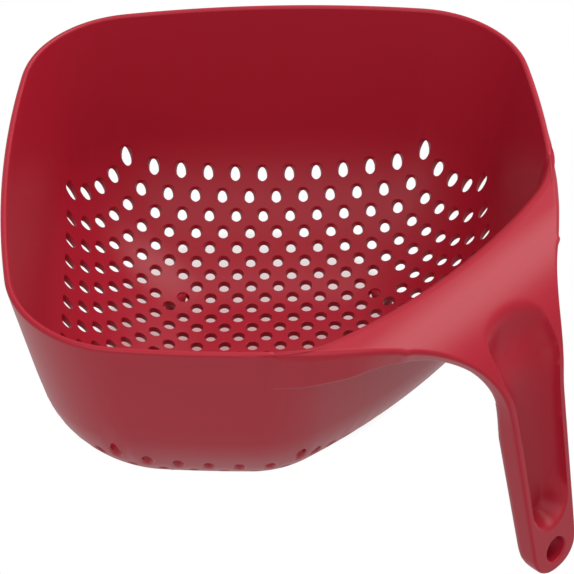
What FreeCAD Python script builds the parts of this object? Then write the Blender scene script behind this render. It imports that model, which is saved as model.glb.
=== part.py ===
import FreeCAD, Part
import math
import os
from collections import namedtuple

from FreeCAD import Placement, Rotation, Vector

# Square colander with one corner drawn out into a downward handle. Millimetres and degrees.
# +X points from the bowl to the handle, +Z is up, and the feet and the end of the grip stand on z = 0.
# The four sides of the bowl face the directions between the axes, so its corners lie on the axes.
SIZES = {
    # bowl
    "wall": 2.8,
    "foot_height": 11.0,
    "rim_height": 130.0,
    "floor_half_width": 33.0,
    "belly_radius": 72.0,
    "side_draft": 9.5,
    "side_bulge_radius": 500.0,
    "floor_corner_radius": 8.5,
    "rim_corner_radius": 46.0,
    "rim_edge": 1.0,
    # wall across the handle's corner
    "corner_inset": 20.0,
    "corner_draft": 12.0,
    "corner_bulge_radius": 280.0,
    "floor_corner_fillet": 6.0,
    "rim_corner_fillet": 50.0,
    # drain holes
    "hole_diameter": 5.0,
    "hole_pitch": 9.0,
    "hole_field_half_width": 96.0,
    "hole_field_corner": 118.0,
    "hole_field_handle": 73.0,
    "plain_spot_reach": 45.0,
    # feet
    "foot_circle": 69.0,
    "foot_tip_radius": 3.5,
    "foot_root_radius": 6.5,
    "foot_root_rise": 14.0,
    # hood over the handle's corner
    "hood_wall": 3.2,
    "hood_flat": 2.0,
    "hood_bend_radius": 45.5,
    "skirt_depth": 22.0,
    "skirt_slope": 23.0,
    "skirt_step": 0.4,
    "neck_radius": 70.0,
    "neck_under_radius": 10.0,
    # grip
    "grip_lean": 11.0,
    "grip_depth": 13.5,
    "grip_half_width": 16.6,
    "grip_tip_half_width": 13.6,
    "grip_tip_radius": 11.5,
    "grip_back_radius": 4.0,
    # thumb trough and hanging hole
    "trough_depth": 7.5,
    "trough_lip": 2.2,
    "trough_start_angle": 32.0,
    "trough_end_gap": 18.0,
    "hang_hole_diameter": 11.5,
    "hang_hole_from_tip": 10.5,
}

# Number of steps of equal turn from the floor to where the straight wall starts.
BELLY_STEPS = 8

# Rounding of the trough's lower corners, as a share of its half width there.
TROUGH_END_ROUNDING = 0.9

# Distance under which two points count as one.
TOUCH = 1e-4

SIDE_DIRECTIONS = (45.0, 135.0, 225.0, 315.0)
ROUND_CORNERS = (90.0, 180.0, 270.0)


def make_sheet(doc):
    sheet = doc.addObject("Spreadsheet::Sheet", "sizes")
    for row, (name, value) in enumerate(SIZES.items(), start=1):
        sheet.set("A%d" % row, name)
        sheet.set("B%d" % row, str(value))
        sheet.setAlias("B%d" % row, name)
    doc.recompute()
    return sheet


def direction(degrees):
    angle = math.radians(degrees)
    return Vector(math.cos(angle), math.sin(angle), 0)


def tangent_point(large, small):
    # Where a small circle touches the large circle around it from inside.
    (large_centre, large_radius), (small_centre, _) = large, small
    return large_centre + (small_centre - large_centre).normalize() * large_radius


def circle_arc(circle, start, end):
    # The counter-clockwise arc of a level circle from one point to another.
    centre, radius = circle
    first = math.atan2(start.y - centre.y, start.x - centre.x)
    last = math.atan2(end.y - centre.y, end.x - centre.x)
    if last < first:
        last += 2 * math.pi
    middle = (first + last) / 2
    through = centre + Vector(math.cos(middle), math.sin(middle), 0) * radius
    return Part.Arc(start, through, end).toShape()


def corner_circle(side_offset, side_radius, radius, degrees):
    # A corner circle that touches the two bulged sides beside it.
    half = math.radians(45)
    reach = math.sqrt((side_radius - radius) ** 2 - (side_offset * math.sin(half)) ** 2)
    return direction(degrees) * (reach - side_offset * math.cos(half)), radius


def fillet_circle(side, chord, radius):
    # A circle that touches both a bulged side and the bulged chord wall from inside.
    (side_centre, side_radius), (chord_centre, chord_radius) = side, chord
    to_side = side_centre - chord_centre
    gap = to_side.Length
    near = chord_radius - radius
    far = side_radius - radius
    along = (near ** 2 - far ** 2 + gap ** 2) / (2 * gap)
    across = math.sqrt(near ** 2 - along ** 2)
    unit = Vector(to_side).normalize()
    normal = Vector(-unit.y, unit.x, 0)
    choices = [chord_centre + unit * along + normal * across * turn for turn in (1, -1)]
    return max(choices, key=lambda point: point.x), radius


def bowl_outline(size, row, share):
    # One level outline of the bowl: four bulged sides, three round corners and the chord wall.
    side_radius = size("side_bulge_radius")
    offset = side_radius - row.half_width
    corner = size("floor_corner_radius")
    corner += (size("rim_corner_radius") - corner) * share
    fillet = size("floor_corner_fillet")
    fillet += (size("rim_corner_fillet") - fillet) * share
    sides = [(direction(angle) * -offset, side_radius) for angle in SIDE_DIRECTIONS]
    corners = [corner_circle(offset, side_radius, corner, angle) for angle in ROUND_CORNERS]
    chord_radius = size("corner_bulge_radius")
    front = (Vector(row.chord - chord_radius, 0, 0), chord_radius)
    left = fillet_circle(sides[0], front, fillet)
    right = fillet_circle(sides[3], front, fillet)
    large = [front, sides[0], sides[1], sides[2], sides[3]]
    small = [left, corners[0], corners[1], corners[2], right]
    edges = []
    for index, circle in enumerate(large):
        before = tangent_point(circle, small[index - 1])
        after = tangent_point(circle, small[index])
        following = tangent_point(large[(index + 1) % len(large)], small[index])
        edges.append(circle_arc(circle, before, after))
        edges.append(circle_arc(small[index], after, following))
    wire = Part.Wire(edges)
    wire.translate(Vector(0, 0, row.height))
    return wire


# Half width, reach of the chord wall and height of one level outline of the bowl.
Row = namedtuple("Row", "half_width chord height")


def belly_profile(size, radius):
    # The outlines of the belly, from the edge of the floor to where the straight wall starts.
    steepest = 90 - size("side_draft")
    bend_height = size("foot_height") + size("belly_radius") + size("wall")
    floor_chord = size("floor_half_width") - size("corner_inset")
    rows = []
    for step in range(BELLY_STEPS + 1):
        angle = math.radians(steepest * step / BELLY_STEPS)
        out = radius * math.sin(angle)
        height = bend_height - radius * math.cos(angle)
        rows.append(Row(size("floor_half_width") + out, floor_chord + out, height))
    return rows


def wall_row(size, radius, height):
    # The outline of the straight wall at one height.
    start = belly_profile(size, radius)[-1]
    rise = height - start.height
    half_width = start.half_width + rise * math.tan(math.radians(size("side_draft")))
    chord = start.chord + rise * math.tan(math.radians(size("corner_draft")))
    return Row(half_width, chord, height)


def bowl_form(size, radius, rim_rows):
    # A smooth belly through its outlines, then straight walls through the rim's outlines.
    belly_rows = belly_profile(size, radius)
    low = belly_rows[0].half_width
    high = rim_rows[0].half_width
    shares = [(row.half_width - low) / (high - low) for row in belly_rows]
    belly = [bowl_outline(size, row, share) for row, share in zip(belly_rows, shares)]
    walls = [belly[-1]] + [bowl_outline(size, row, 1) for row in rim_rows]
    return Part.makeLoft(belly, True, False).fuse(Part.makeLoft(walls, True, True)).removeSplitter()


def outer_form(size):
    # The bowl filled to its rim, whose outer edge is broken by a small slope.
    radius = size("belly_radius") + size("wall")
    edge = size("rim_edge")
    rim = wall_row(size, radius, size("rim_height") - edge)
    lip = Row(rim.half_width - edge, rim.chord - edge, size("rim_height"))
    return bowl_form(size, radius, [rim, lip])


def inner_form(size):
    # The hollow of the bowl, carried a little past the rim.
    radius = size("belly_radius")
    return bowl_form(size, radius, [wall_row(size, radius, size("rim_height") + size("wall"))])


def feet_places(size):
    ring = size("foot_circle")
    return {
        "foot_rear": (-ring, 0),
        "foot_left": (0, ring),
        "foot_right": (0, -ring),
    }


def drain_places(size):
    # A square net of holes on the bowl's two diagonals. One is left out over each foot, and one near the handle.
    pitch = size("hole_pitch")
    reach = int(size("hole_field_corner") / pitch)
    plain = [Vector(x, y, 0) for x, y in feet_places(size).values()]
    plain.append(Vector(size("plain_spot_reach"), 0, 0))
    places = []
    for i in range(-reach, reach + 1):
        for j in range(-reach, reach + 1):
            point = Vector(i * pitch, j * pitch, 0)
            to_side = (abs(point.x) + abs(point.y)) * math.sqrt(0.5)
            clear = min(point.distanceToPoint(spot) for spot in plain) > pitch / 2
            if clear and to_side <= size("hole_field_half_width") and point.x <= size("hole_field_handle"):
                places.append(point)
    return places


def drain_field(size):
    # Vertical pins, one for each drain hole, from under the floor to the top of the belly.
    top = size("foot_height") + size("belly_radius")
    radius = size("hole_diameter") / 2
    return Part.makeCompound([Part.makeCylinder(radius, top, point) for point in drain_places(size)])


def line_crossing(point, along, other, other_along):
    # Where two lines of the XZ plane meet.
    gap = other - point
    turn = along.x * other_along.z - along.z * other_along.x
    reach = (gap.x * other_along.z - gap.z * other_along.x) / turn
    return point + along * reach


def corner_arc(before, corner, after, radius):
    # Start, middle and end of the arc that rounds the corner between two straight lines.
    first = (before - corner).normalize()
    last = (after - corner).normalize()
    half = first.getAngle(last) / 2
    inward = (first + last).normalize()
    centre = corner + inward * (radius / math.sin(half))
    setback = radius / math.tan(half)
    return corner + first * setback, centre - inward * radius, corner + last * setback


def closed_face(*edges):
    return Part.Face(Part.Wire(Part.__sortEdges__(list(edges))))


def line(start, end):
    return Part.LineSegment(start, end).toShape()


def arc(points):
    return Part.Arc(*points).toShape()


# The hood and grip are outlined by looking along this slanted direction, down onto both of them.
SIGHT = Vector(1, 0, 1).normalize()
DOWNHILL = Vector(1, 0, -1).normalize()
SIDEWAYS = Vector(0, 1, 0)


class HandleLayout:
    # Points of the hood and grip, worked out from the driving sizes.
    def __init__(self, size):
        self.size = size
        self.top = size("rim_height")
        rim = wall_row(size, size("belly_radius") + size("wall"), self.top)
        self.half_width = rim.half_width
        self.chord = rim.chord
        self.bend_radius = size("hood_bend_radius")
        self.bend = Vector(self.chord + size("hood_flat"), 0, self.top - self.bend_radius)
        lean = math.radians(size("grip_lean"))
        self.face = Vector(math.cos(lean), 0, math.sin(lean))
        self.down = Vector(math.sin(lean), 0, -math.cos(lean))
        self.grip_top = self.bend + self.face * self.bend_radius
        drop = self.grip_top.z / math.cos(lean)
        self.tip = self.grip_top + self.down * drop
        self.back = self.tip - Vector(size("grip_depth") / self.face.x, 0, 0)
        self.inside = Vector(self.chord - size("skirt_depth"), 0, self.top)
        self.lay_outline()

    def on_bend(self, degrees, radius):
        # A point of the bend, measured from its highest point towards the grip.
        angle = math.radians(degrees)
        return self.bend + Vector(math.sin(angle), 0, math.cos(angle)) * radius

    def side_reach(self, x):
        # How far the bowl's bulged side stands out at the rim, less the small step of the skirt.
        side_radius = self.size("side_bulge_radius")
        centre = -(side_radius - self.half_width) * math.sqrt(0.5)
        reach = math.sqrt(side_radius ** 2 - (x - centre) ** 2) + centre
        return reach - self.size("skirt_step") * math.sqrt(2)

    def lay_outline(self):
        # Half of the outline seen along the sight line: side of the bowl, concave neck, grip.
        size = self.size
        x_far = self.bend.x + size("skirt_step")
        rim_in = self.seen(self.inside, self.side_reach(self.inside.x))
        rim_out = self.seen(Vector(x_far, 0, self.top), self.side_reach(x_far))
        grip_in = self.seen(self.grip_top, size("grip_half_width"))
        self.outline_end = self.seen(self.tip, size("grip_tip_half_width"))
        corner = crossing_2d(rim_in, rim_out, grip_in, self.outline_end)
        self.outline_start = rim_in
        self.neck = corner_arc(rim_in, corner, self.outline_end, size("neck_radius"))
        self.grip_in = grip_in

    def seen(self, point, half_width):
        # A point as the sight line shows it: distance downhill, half width.
        return Vector(point.dot(DOWNHILL), half_width, 0)

    def neck_half_width(self, point):
        # Half width of the neck at a point of the bend.
        start, through, end = self.neck
        circle = Part.Circle(start, through, end)
        along = point.dot(DOWNHILL) - circle.Center.x
        return circle.Center.y - math.sqrt(circle.Radius ** 2 - along ** 2)


def crossing_2d(first, second, third, fourth):
    # Where the line through two points meets the line through two others, in a level plane.
    along = second - first
    other = fourth - third
    gap = third - first
    reach = (gap.x * other.y - gap.y * other.x) / (along.x * other.y - along.y * other.x)
    return first + along * reach


def from_sight(seen, sign):
    # The point on the plane across the sight line that is seen at a given place.
    return DOWNHILL * seen.x + SIDEWAYS * seen.y * sign


def side_face(lay):
    # Top of the hood, bend, grip face, tip, grip back, round corner under the neck, skirt edge.
    size = lay.size
    crown = lay.on_bend(0, lay.bend_radius)
    shoulder = lay.on_bend(45, lay.bend_radius)
    slope = math.radians(size("skirt_slope"))
    rise = Vector(math.cos(slope), 0, math.sin(slope))
    skirt = Vector(lay.inside.x, 0, lay.top - size("skirt_depth") - size("neck_under_radius") / 3)
    corner = line_crossing(skirt, rise, lay.back, lay.down)
    under = corner_arc(skirt, corner, lay.back, size("neck_under_radius"))
    return closed_face(
        line(lay.inside, crown),
        arc((crown, shoulder, lay.grip_top)),
        line(lay.grip_top, lay.tip),
        line(lay.tip, lay.back),
        line(lay.back, under[2]),
        arc(under),
        line(under[0], skirt),
        line(skirt, lay.inside),
    )


def outline_face(lay):
    # The neck and grip as the sight line shows them, from the start of the neck past the tip.
    edges = []
    start, through, end = lay.neck
    past = lay.outline_end + (lay.outline_end - lay.grip_in).normalize() * lay.size("grip_depth")
    for sign in (1, -1):
        points = [from_sight(point, sign) for point in lay.neck]
        edges.append(arc(points))
        edges.append(line(points[2], from_sight(past, sign)))
    edges.append(line(from_sight(start, 1), from_sight(start, -1)))
    edges.append(line(from_sight(past, 1), from_sight(past, -1)))
    return closed_face(*edges)


def hood_outline(lay, inset, z):
    # Plan of the hood at one height, from inside the bowl along its sides and the neck.
    last = lay.size("trough_start_angle")
    rail = []
    for step in range(4):
        point = lay.on_bend(last * step / 3, lay.bend_radius)
        rail.append(Vector(point.x, lay.neck_half_width(point) - inset, z))
    edges = []
    for sign in (1, -1):
        points = [Vector(point.x, point.y * sign, z) for point in rail]
        spline = Part.BSplineCurve()
        spline.interpolate(points)
        inner = Vector(lay.inside.x, (lay.side_reach(lay.inside.x) - inset) * sign, z)
        edges.append([line(inner, points[0]), spline.toShape(), inner, points[-1]])
    left, right = edges
    return Part.Wire([
        left[0],
        left[1],
        line(left[3], right[3]),
        right[1],
        right[0],
        line(right[2], left[2]),
    ])


def hood_prism(lay, inset):
    # The hood's plan carried down from the rim, drawn in by the draft of the bowl's sides.
    depth = lay.size("skirt_depth") * 2
    draft = depth * math.tan(math.radians(lay.size("side_draft"))) * math.sqrt(2)
    upper = hood_outline(lay, inset, lay.top)
    lower = hood_outline(lay, inset + draft, lay.top - depth)
    return Part.makeLoft([lower, upper], True, True)


def pocket_face(lay):
    # The hollow under the hood in side view, one wall below its top.
    radius = lay.bend_radius - lay.size("hood_wall")
    last = lay.size("trough_start_angle") / 2
    inner = Vector(lay.inside.x, 0, lay.top - lay.size("hood_wall"))
    crown = lay.on_bend(0, radius)
    end = lay.on_bend(last, radius)
    floor = lay.top - lay.size("skirt_depth") * 2
    foot = Vector(end.x, 0, floor)
    return closed_face(
        line(inner, crown),
        arc((crown, lay.on_bend(last / 2, radius), end)),
        line(end, foot),
        line(foot, Vector(inner.x, 0, floor)),
        line(Vector(inner.x, 0, floor), inner),
    )


def trough_face(lay):
    # The thumb trough in side view: its floor leaves the hood's bend and runs down the grip.
    size = lay.size
    depth = size("trough_depth")
    first = size("trough_start_angle")
    start = lay.on_bend(first, lay.bend_radius)
    last = 90 - size("grip_lean")
    floor_top = lay.grip_top - lay.face * depth
    middle = lay.on_bend((first + last) / 2, lay.bend_radius - depth * 0.6)
    floor_end = lay.tip - lay.face * depth
    clear = lay.face * depth
    outside = lay.on_bend(first, lay.bend_radius + 2 * depth)
    return closed_face(
        arc((start, middle, floor_top)),
        line(floor_top, floor_end),
        line(floor_end, lay.tip + clear),
        line(lay.tip + clear, lay.grip_top + clear * 4),
        line(lay.grip_top + clear * 4, outside),
        line(outside, start),
    )


def trough_outline(lay):
    # The trough as seen square to the grip's face: the grip less its lips, round at the lower end.
    size = lay.size
    upper = (lay.on_bend(0, lay.bend_radius) - lay.grip_top).dot(lay.down)
    length = (lay.tip - lay.grip_top).Length
    lower = length - size("trough_end_gap")
    taper = (size("grip_tip_half_width") - size("grip_half_width")) / length
    start = Vector(upper, size("grip_half_width") - size("trough_lip"), 0)
    end = Vector(lower, start.y + taper * lower, 0)
    rounding = corner_arc(start, end, Vector(lower, 0, 0), end.y * TROUGH_END_ROUNDING)
    edges = []
    ends = []
    for sign in (1, -1):
        places = [lay.grip_top + lay.down * spot.x + SIDEWAYS * spot.y * sign for spot in (start, *rounding)]
        edges.append(line(places[0], places[1]))
        edges.append(arc(places[1:]))
        ends.append(places)
    edges.append(line(ends[0][3], ends[1][3]))
    edges.append(line(ends[0][0], ends[1][0]))
    return closed_face(*edges)


def shaped(doc, name, shape):
    feature = doc.addObject("Part::Feature", name)
    feature.Shape = shape
    return feature


def extruded(doc, name, face, along):
    # A closed outline carried the same way to both sides of its plane, past the whole handle.
    block = doc.addObject("Part::Extrusion", name)
    block.Base = shaped(doc, name + "_outline", face)
    block.DirMode = "Custom"
    block.Dir = along
    block.Solid = True
    block.Symmetric = True
    block.setExpression("LengthFwd", "sizes.rim_height * 4")
    return block


def joined(doc, kind, name, base, tool):
    result = doc.addObject("Part::" + kind, name)
    result.Base = base
    result.Tool = tool
    doc.recompute()
    return result


def rounded(doc, name, base, radius, chosen):
    # The base with the edges that pass the test rounded.
    fillet = doc.addObject("Part::Fillet", name)
    fillet.Base = base
    edges = enumerate(base.Shape.Edges, start=1)
    fillet.Edges = [(index, radius, radius) for index, edge in edges if chosen(edge)]
    doc.recompute()
    return fillet


def make_bowl(doc, size):
    outside = shaped(doc, "bowl_outside", outer_form(size))
    inside = shaped(doc, "bowl_inside", inner_form(size))
    pins = shaped(doc, "drain_pins", drain_field(size))
    shell = joined(doc, "Cut", "bowl_shell", outside, inside)
    return joined(doc, "Cut", "bowl", shell, pins), outside


def make_feet(doc, size, outside):
    feet = []
    for name, (x, y) in feet_places(size).items():
        peg = doc.addObject("Part::Cone", name + "_peg")
        peg.setExpression("Radius1", "sizes.foot_tip_radius")
        peg.setExpression("Radius2", "sizes.foot_root_radius")
        peg.setExpression("Height", "sizes.foot_height + sizes.foot_root_rise")
        peg.Placement = Placement(Vector(x, y, 0), Rotation())
        feet.append(joined(doc, "Cut", name, peg, outside))
    return feet


def make_grip(doc, lay, side_block):
    # The neck and grip between their side view and their outline, with the tip and back rounded.
    size = lay.size
    outline_block = extruded(doc, "grip_outline", outline_face(lay), SIGHT)
    square = joined(doc, "Common", "grip_square", side_block, outline_block)

    def at_tip(edge):
        first, last = edge.Vertexes[0], edge.Vertexes[-1]
        level = abs(first.Z - lay.tip.z) < TOUCH and abs(last.Z - lay.tip.z) < TOUCH
        return level and abs(first.Y - last.Y) < size("wall")

    def on_back(edge):
        return all(abs((vertex.Point - lay.back).dot(lay.face)) < TOUCH for vertex in edge.Vertexes)

    round_tip = rounded(doc, "grip_round_tip", square, size("grip_tip_radius"), at_tip)
    return rounded(doc, "grip", round_tip, size("grip_back_radius"), on_back)


def make_trough(doc, lay):
    side_block = extruded(doc, "trough_side", trough_face(lay), SIDEWAYS)
    outline_block = extruded(doc, "trough_plan", trough_outline(lay), lay.face)
    return joined(doc, "Common", "trough", side_block, outline_block)


def make_hang_hole(doc, lay):
    # A bore square to the grip's face, above the tip.
    size = lay.size
    bore = doc.addObject("Part::Cylinder", "hang_hole")
    bore.setExpression("Radius", "sizes.hang_hole_diameter / 2")
    bore.setExpression("Height", "sizes.grip_depth * 3")
    middle = lay.tip - lay.down * size("hang_hole_from_tip")
    start = middle - lay.face * (size("grip_depth") * 2)
    bore.Placement = Placement(start, Rotation(Vector(0, 0, 1), lay.face))
    return bore


def make_handle(doc, lay, outside):
    side_block = extruded(doc, "handle_side", side_face(lay), SIDEWAYS)
    hood_block = shaped(doc, "hood_plan", hood_prism(lay, 0))
    hood = joined(doc, "Common", "hood", side_block, hood_block)
    solid = joined(doc, "Fuse", "handle_solid", make_grip(doc, lay, side_block), hood)
    pocket_side = extruded(doc, "pocket_side", pocket_face(lay), SIDEWAYS)
    pocket_plan = shaped(doc, "pocket_plan", hood_prism(lay, lay.size("wall") * math.sqrt(2)))
    pocket = joined(doc, "Common", "pocket", pocket_side, pocket_plan)
    hollow = joined(doc, "Cut", "handle_hollow", solid, pocket)
    carved = joined(doc, "Cut", "handle_carved", hollow, make_trough(doc, lay))
    bored = joined(doc, "Cut", "handle_bored", carved, make_hang_hole(doc, lay))
    return joined(doc, "Cut", "handle", bored, outside)


def check(doc, nodes):
    for item in doc.Objects:
        if "Invalid" in item.State or "Error" in item.State:
            raise RuntimeError("%s could not be made" % item.Name)
    for node in nodes:
        if node.Shape.isNull() or not node.Shape.isValid() or len(node.Shape.Solids) != 1:
            raise RuntimeError("%s is not one sound solid" % node.Label)


def main():
    os.makedirs("parts", exist_ok=True)
    doc = FreeCAD.newDocument("colander")
    size = make_sheet(doc).get
    lay = HandleLayout(size)
    bowl, outside = make_bowl(doc, size)
    nodes = [bowl, make_handle(doc, lay, outside)] + make_feet(doc, size, outside)
    check(doc, nodes)
    rear = bowl.Shape.optimalBoundingBox().XMin
    centred = Placement(Vector(-(rear + lay.tip.x) / 2, 0, 0), Rotation())
    for node in nodes:
        node.Label = node.Name
        node.Placement = centred
        node.Shape.exportStep("parts/%s.step" % node.Label)


main()
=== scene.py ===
import math

import bpy
import numpy as np
from mathutils import Matrix, Vector
from mathutils.geometry import delaunay_2d_cdt


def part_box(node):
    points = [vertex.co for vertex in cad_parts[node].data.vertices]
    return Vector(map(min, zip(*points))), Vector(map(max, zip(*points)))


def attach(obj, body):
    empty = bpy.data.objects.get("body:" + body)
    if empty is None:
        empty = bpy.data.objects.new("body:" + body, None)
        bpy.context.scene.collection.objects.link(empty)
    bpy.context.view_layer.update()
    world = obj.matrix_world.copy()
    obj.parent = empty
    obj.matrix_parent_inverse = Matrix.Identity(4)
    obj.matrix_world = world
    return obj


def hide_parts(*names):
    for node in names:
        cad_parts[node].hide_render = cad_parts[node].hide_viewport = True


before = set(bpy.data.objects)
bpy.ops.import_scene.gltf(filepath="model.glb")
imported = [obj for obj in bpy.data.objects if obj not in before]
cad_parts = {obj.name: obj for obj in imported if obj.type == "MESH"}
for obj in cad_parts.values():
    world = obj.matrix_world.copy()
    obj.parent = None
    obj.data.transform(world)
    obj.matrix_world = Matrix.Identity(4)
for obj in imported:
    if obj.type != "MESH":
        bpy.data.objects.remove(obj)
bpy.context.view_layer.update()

# Sizes are in millimetres and degrees, measured from the bowl's axis at table height.
# The handle points along +X, and the bowl's sides face the directions between the axes.
mm = 0.001
bowlLow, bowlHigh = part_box("bowl")
axisShift = bowlLow.x + bowlHigh.y

bowl = {
    "wall": 2.8,
    "floorTop": 13.8,
    "bellyRadius": 72.0,
    "floorHalfWidth": 33.0,
    "floorChord": 13.0,
    "sideDraft": 10.4,
    "chordDraft": 12.0,
    "rimHeight": bowlHigh.z / mm,
    "sideBulge": 500.0,
    "chordBulge": 280.0,
    "floorCorner": 8.5,
    "rimCorner": 49.0,
    "floorFillet": 6.0,
    "rimFillet": 50.0,
    "seamHalfWidth": 105.5,
    "bellyRows": (101.0, 103.4),
    "fillGap": 1.5,
    "searchMargin": 1.5,
    "searchSteps": 34,
    "slopeStep": 0.2,
    "wallRows": 16,
    "lipDrop": 2.2,
    "lipGap": 0.05,
    "lipBlend": 12.0,
    "lipRows": 9,
    "hoodCover": (7, 2),
    "arcSteps": {"chord": 44, "fillet": 26, "side": 44, "corner": 26},
}

drain = {
    "pitch": 9.0,
    "radius": 2.45,
    "edge": 0.7,
    "taper": 0.3,
    "fieldHalfWidth": 96.0,
    "fieldCorner": 118.0,
    "fieldHandle": 73.0,
    "segments": 20,
    "steepSqueeze": 0.8,
    "plainSpots": ((-69.0, 0.0), (0.0, 69.0), (0.0, -69.0), (45.0, 0.0)),
}


def rotated(degrees):
    angle = math.radians(degrees)
    return np.array([math.cos(angle), math.sin(angle)])


def cross2(a, b):
    return a[..., 0] * b[..., 1] - a[..., 1] * b[..., 0]


def unit(vectors):
    return vectors / np.linalg.norm(vectors, axis=-1, keepdims=True)


def smooth(value, low, high):
    # From 0 at low to 1 at high, level at both ends.
    share = np.clip((value - low) / (high - low), 0, 1)
    return share * share * (3 - 2 * share)


def makeObject(name, verts, faces, normals=None):
    # Millimetres round the bowl's axis become metres in the shared frame.
    shifted = verts * mm + np.array([axisShift, 0, 0])
    mesh = bpy.data.meshes.new(name)
    mesh.from_pydata(shifted.tolist(), [], faces)
    mesh.polygons.foreach_set("use_smooth", np.ones(len(mesh.polygons), bool))
    mesh.update()
    if normals is not None:
        mesh.normals_split_custom_set_from_vertices(normals.tolist())
    piece = bpy.data.objects.new(name, mesh)
    bpy.context.scene.collection.objects.link(piece)
    return piece


def gridFaces(index, closed=False):
    # Quads between neighbouring rows of a table of vertex numbers.
    after = np.roll(index, -1, axis=1) if closed else index[:, 1:]
    here = index if closed else index[:, :-1]
    quads = np.stack([here[:-1], after[:-1], after[1:], here[1:]], -1)
    return quads.reshape(-1, 4)


# Bowl outlines: large circles for the chord wall and the sides, small ones for the corners.


wallStart = bowl["floorHalfWidth"] + bowl["bellyRadius"] * math.cos(math.radians(bowl["sideDraft"]))
bendHeight = bowl["floorTop"] + bowl["bellyRadius"]
sideSlope = math.tan(math.radians(bowl["sideDraft"]))
chordSlope = math.tan(math.radians(bowl["chordDraft"]))


def bowlHeight(halfWidth):
    # Flat floor, then a circle of the belly radius, then a straight wall.
    out = np.clip(halfWidth - bowl["floorHalfWidth"], 0, wallStart - bowl["floorHalfWidth"])
    belly = bendHeight - np.sqrt(bowl["bellyRadius"] ** 2 - out ** 2)
    return belly + np.clip(halfWidth - wallStart, 0, None) / sideSlope


def halfWidthAt(height):
    # Half width of the straight wall at a height.
    top = float(bowlHeight(np.array(wallStart)))
    return wallStart + (height - top) * sideSlope


rimHalfWidth = halfWidthAt(bowl["rimHeight"])


def bowlCircles(halfWidth):
    # Centres and radii of the ten circles of one outline, counter-clockwise from the chord wall.
    halfWidth = np.asarray(halfWidth, float)
    low = bowl["floorHalfWidth"]
    share = np.clip((halfWidth - low) / (rimHalfWidth - low), 0, 1.1)
    corner = bowl["floorCorner"] + (bowl["rimCorner"] - bowl["floorCorner"]) * share
    fillet = bowl["floorFillet"] + (bowl["rimFillet"] - bowl["floorFillet"]) * share
    onWall = np.clip(halfWidth - wallStart, 0, None)
    chord = bowl["floorChord"] + halfWidth - low + onWall * (chordSlope / sideSlope - 1)
    offset = bowl["sideBulge"] - halfWidth
    zero = np.zeros_like(halfWidth)
    large = [(np.stack([chord - bowl["chordBulge"], zero], -1), bowl["chordBulge"] + zero)]
    for degrees in (45, 135, 225, 315):
        large.append((-offset[..., None] * rotated(degrees), bowl["sideBulge"] + zero))
    reach = np.sqrt((bowl["sideBulge"] - corner) ** 2 - offset ** 2 / 2) - offset * math.sqrt(0.5)
    small = [filletCircle(large[1], large[0], fillet)]
    for degrees in (90, 180, 270):
        small.append((reach[..., None] * rotated(degrees), corner))
    mirror = small[0][0] * np.array([1, -1])
    small.append((mirror, fillet))
    return large, small


def filletCircle(side, chord, radius):
    # The circle inside both a side and the chord wall that touches each of them.
    toSide = side[0] - chord[0]
    gap = np.linalg.norm(toSide, axis=-1)
    near = chord[1] - radius
    far = side[1] - radius
    along = (near ** 2 - far ** 2 + gap ** 2) / (2 * gap)
    across = np.sqrt(near ** 2 - along ** 2)
    ahead = toSide / gap[..., None]
    beside = np.stack([ahead[..., 1], -ahead[..., 0]], -1)
    beside = beside * np.sign(beside[..., :1])
    return chord[0] + ahead * along[..., None] + beside * across[..., None], radius


def arcPoints(circle, first, last, steps):
    # Points of a circle from the direction of one vector to that of the next, without the end.
    start = np.arctan2(first[..., 1], first[..., 0])
    end = np.arctan2(last[..., 1], last[..., 0])
    end = np.where(end < start, end + 2 * np.pi, end)
    share = np.arange(steps) / steps
    angle = start[..., None] + (end - start)[..., None] * share
    ring = np.stack([np.cos(angle), np.sin(angle)], -1)
    return circle[0][..., None, :] + ring * circle[1][..., None, None]


def bowlOutline(halfWidth):
    # One closed row of plan points for each half width.
    large, small = bowlCircles(halfWidth)
    steps = bowl["arcSteps"]
    parts = []
    for i, circle in enumerate(large):
        before = small[i - 1][0] - circle[0]
        after = small[i][0] - circle[0]
        onward = small[i][0] - large[(i + 1) % 5][0]
        parts.append(arcPoints(circle, before, after, steps["chord" if i == 0 else "side"]))
        parts.append(arcPoints(small[i], after, onward, steps["fillet" if i in (0, 4) else "corner"]))
    return np.concatenate(parts, -2)


def outsideOf(points, halfWidth):
    # How far points lie outside the outline of the given half width.
    large, small = bowlCircles(halfWidth)
    result = np.max([np.linalg.norm(points - c, axis=-1) - r for c, r in large], axis=0)
    for i, (centre, radius) in enumerate(small):
        arm = points - centre
        inside = cross2(centre - large[i][0], arm) >= 0
        inside &= cross2(arm, centre - large[(i + 1) % 5][0]) >= 0
        result = np.where(inside, np.linalg.norm(arm, axis=-1) - radius, result)
    return result


def plateHeight(points):
    # Height of the inner surface over plan points, by halving the range of half widths.
    low = np.full(len(points), bowl["floorHalfWidth"])
    high = np.full(len(points), bowl["seamHalfWidth"] + bowl["searchMargin"])
    for _ in range(bowl["searchSteps"]):
        middle = (low + high) / 2
        out = outsideOf(points, middle) > 0
        low = np.where(out, middle, low)
        high = np.where(out, high, middle)
    return bowlHeight((low + high) / 2)


def plateNormal(points):
    # Upward normal of the inner surface, from its rise over a small step either way.
    step = bowl["slopeStep"]
    slopes = []
    for axis in (np.array([step, 0]), np.array([0, step])):
        slopes.append((plateHeight(points + axis) - plateHeight(points - axis)) / (2 * step))
    return unit(np.stack([-slopes[0], -slopes[1], np.ones(len(points))], -1))


def dropThrough(upright):
    # How far the outer belly lies straight below the inner one, for the upright part of its normal.
    out = (bowl["bellyRadius"] ** 2) * (1 - upright ** 2)
    outer = (bowl["bellyRadius"] + bowl["wall"]) ** 2
    return np.sqrt(outer - out) - bowl["bellyRadius"] * upright


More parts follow.
